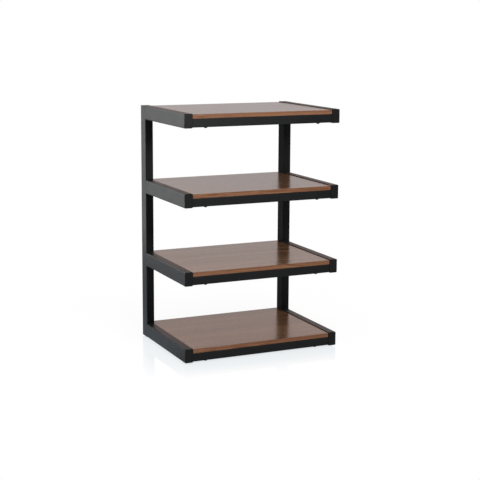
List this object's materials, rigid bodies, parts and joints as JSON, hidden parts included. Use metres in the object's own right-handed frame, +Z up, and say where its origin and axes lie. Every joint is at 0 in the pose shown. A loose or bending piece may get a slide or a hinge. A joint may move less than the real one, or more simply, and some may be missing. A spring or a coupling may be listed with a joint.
{
  "type": "audio equipment rack",
  "caption": "Open hi-fi equipment rack: black steel E-shaped side frames with forward arms carry walnut-faced shelves on rails, on screw-adjustable levelling feet.",
  "frame": {"origin": "on the floor, under the middle of the rack", "axes": "+X to the right seen from the front, +Y to the back, +Z up"},
  "size_m": [0.6, 0.43, 0.876],
  "materials": {
    "frame_steel": "fine-textured satin black powder coat",
    "shelf_board": "walnut laminate with long grain from side to side, semi-gloss",
    "cap_plastic": "moulded black plastic, fine satin texture",
    "shelf_bolt": "black zinc",
    "foot_steel": "bright zinc",
    "foot_pad": "hard black plastic with a felt-grey sole"
  },
  "bodies": {
    "root": {"left_post": "frame_steel", "left_bottom_arm": "frame_steel", "left_lower_arm": "frame_steel", "left_upper_arm": "frame_steel", "left_top_arm": "frame_steel", "right_post": "frame_steel", "right_bottom_arm": "frame_steel", "right_lower_arm": "frame_steel", "right_upper_arm": "frame_steel", "right_top_arm": "frame_steel", "bottom_front_rail": "frame_steel", "bottom_rear_rail": "frame_steel", "lower_front_rail": "frame_steel", "lower_rear_rail": "frame_steel", "upper_front_rail": "frame_steel", "upper_rear_rail": "frame_steel", "top_front_rail": "frame_steel", "top_rear_rail": "frame_steel", "bottom_shelf": "shelf_board", "lower_shelf": "shelf_board", "upper_shelf": "shelf_board", "top_shelf": "shelf_board", "left_post_cap": "cap_plastic", "left_bottom_arm_cap": "cap_plastic", "left_lower_arm_cap": "cap_plastic", "left_upper_arm_cap": "cap_plastic", "left_top_arm_cap": "cap_plastic", "right_post_cap": "cap_plastic", "right_bottom_arm_cap": "cap_plastic", "right_lower_arm_cap": "cap_plastic", "right_upper_arm_cap": "cap_plastic", "right_top_arm_cap": "cap_plastic", "bottom_front_left_shelf_bolt": "shelf_bolt", "bottom_front_right_shelf_bolt": "shelf_bolt", "bottom_rear_left_shelf_bolt": "shelf_bolt", "bottom_rear_right_shelf_bolt": "shelf_bolt", "lower_front_left_shelf_bolt": "shelf_bolt", "lower_front_right_shelf_bolt": "shelf_bolt", "lower_rear_left_shelf_bolt": "shelf_bolt", "lower_rear_right_shelf_bolt": "shelf_bolt", "upper_front_left_shelf_bolt": "shelf_bolt", "upper_front_right_shelf_bolt": "shelf_bolt", "upper_rear_left_shelf_bolt": "shelf_bolt", "upper_rear_right_shelf_bolt": "shelf_bolt", "top_front_left_shelf_bolt": "shelf_bolt", "top_front_right_shelf_bolt": "shelf_bolt", "top_rear_left_shelf_bolt": "shelf_bolt", "top_rear_right_shelf_bolt": "shelf_bolt", "front_left_foot_nut": "foot_steel", "front_right_foot_nut": "foot_steel", "rear_left_foot_plug": "cap_plastic", "rear_right_foot_plug": "cap_plastic"},
    "front_left_foot_stem": {"front_left_foot_stem": "foot_steel"},
    "front_left_foot_pad": {"front_left_foot_pad": "foot_pad"},
    "front_right_foot_stem": {"front_right_foot_stem": "foot_steel"},
    "front_right_foot_pad": {"front_right_foot_pad": "foot_pad"},
    "rear_left_foot_stem": {"rear_left_foot_stem": "foot_steel"},
    "rear_left_foot_pad": {"rear_left_foot_pad": "foot_pad"},
    "rear_right_foot_stem": {"rear_right_foot_stem": "foot_steel"},
    "rear_right_foot_pad": {"rear_right_foot_pad": "foot_pad"}
  },
  "joints": [
    {"name": "front_left_foot_lift", "type": "slide", "parent": "root", "child": "front_left_foot_stem", "axis": [0, 0, -1], "range_m": [0, 0.01]},
    {"name": "front_left_foot_spin", "type": "hinge", "parent": "front_left_foot_stem", "child": "front_left_foot_pad", "pos_m": [-0.285, -0.185, 0.00185], "axis": [0, 0, -1], "range_deg": [0, 2880]},
    {"name": "front_right_foot_lift", "type": "slide", "parent": "root", "child": "front_right_foot_stem", "axis": [0, 0, -1], "range_m": [0, 0.01]},
    {"name": "front_right_foot_spin", "type": "hinge", "parent": "front_right_foot_stem", "child": "front_right_foot_pad", "pos_m": [0.285, -0.185, 0.00185], "axis": [0, 0, -1], "range_deg": [0, 2880]},
    {"name": "rear_left_foot_lift", "type": "slide", "parent": "root", "child": "rear_left_foot_stem", "axis": [0, 0, -1], "range_m": [0, 0.01]},
    {"name": "rear_left_foot_spin", "type": "hinge", "parent": "rear_left_foot_stem", "child": "rear_left_foot_pad", "pos_m": [-0.285, 0.19, 0.00185], "axis": [0, 0, -1], "range_deg": [0, 2880]},
    {"name": "rear_right_foot_lift", "type": "slide", "parent": "root", "child": "rear_right_foot_stem", "axis": [0, 0, -1], "range_m": [0, 0.01]},
    {"name": "rear_right_foot_spin", "type": "hinge", "parent": "rear_right_foot_stem", "child": "rear_right_foot_pad", "pos_m": [0.285, 0.19, 0.00185], "axis": [0, 0, -1], "range_deg": [0, 2880]}
  ],
  "couplings": [
    {"joint": "front_left_foot_spin", "follows": "front_left_foot_lift", "rad_per_m": 5026.5},
    {"joint": "front_right_foot_spin", "follows": "front_right_foot_lift", "rad_per_m": 5026.5},
    {"joint": "rear_left_foot_spin", "follows": "rear_left_foot_lift", "rad_per_m": 5026.5},
    {"joint": "rear_right_foot_spin", "follows": "rear_right_foot_lift", "rad_per_m": 5026.5}
  ]
}
